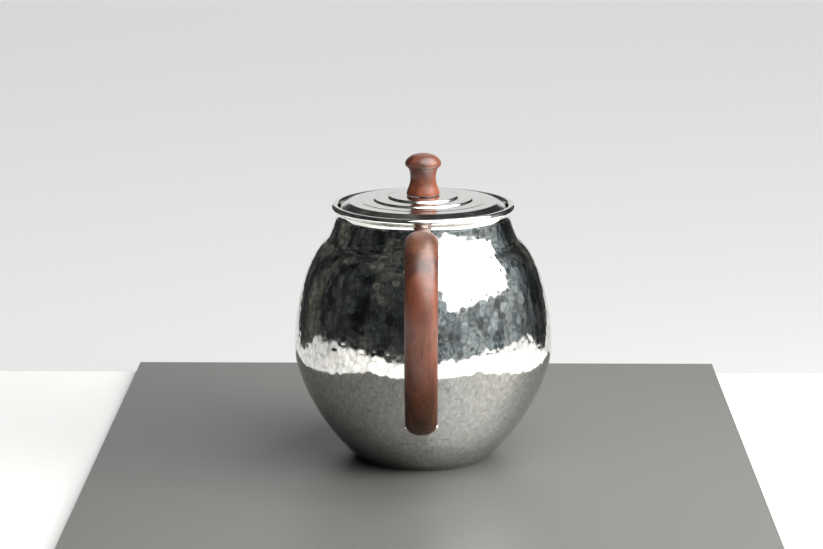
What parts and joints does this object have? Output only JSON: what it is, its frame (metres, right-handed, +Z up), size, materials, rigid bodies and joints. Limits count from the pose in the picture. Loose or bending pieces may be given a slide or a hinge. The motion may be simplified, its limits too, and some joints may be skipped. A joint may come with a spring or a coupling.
{
  "type": "teapot",
  "caption": "Small round-bellied hammered silver teapot with a polished neck and stepped lid, a turned wooden knob, a wooden ear handle and a short spout.",
  "frame": {"origin": "centre of the flat base, on the surface the pot stands on and on the pot's turned axis", "axes": "+Z up along the pot's axis, the way the lid lifts; +Y from the axis towards the spout, -Y towards the handle; X across, the pot's plane of symmetry being X = 0"},
  "size_m": [0.092, 0.1431, 0.1094],
  "materials": {
    "hammered_silver": "bright planished silver with small overlapping hammer facets",
    "polished_silver": "smooth mirror-polished silver with fine turned lines",
    "inner_silver": "plain satin silver inside the pot and lid",
    "rosewood": "dark reddish-brown rosewood, waxed satin",
    "knob_rosewood": "turned reddish rosewood, waxed satin, open pores"
  },
  "bodies": {
    "pot": {"body_shell": "hammered_silver", "neck_collar": "polished_silver", "lid_seat_ring": "polished_silver", "spout": "hammered_silver", "spout_strainer": "inner_silver", "handle": "rosewood", "upper_handle_lug": "polished_silver", "lower_handle_lug": "polished_silver", "upper_handle_pin": "polished_silver", "lower_handle_pin": "polished_silver"},
    "lid": {"lid_cover": "polished_silver", "lid_bezel": "polished_silver", "knob": "knob_rosewood", "knob_stud": "inner_silver", "knob_washer": "inner_silver", "knob_nut": "inner_silver"}
  },
  "joints": [
    {"name": "lid_lift", "type": "slide", "parent": "pot", "child": "lid", "axis": [0, 0, 1], "range_m": [0, 0.035]}
  ]
}
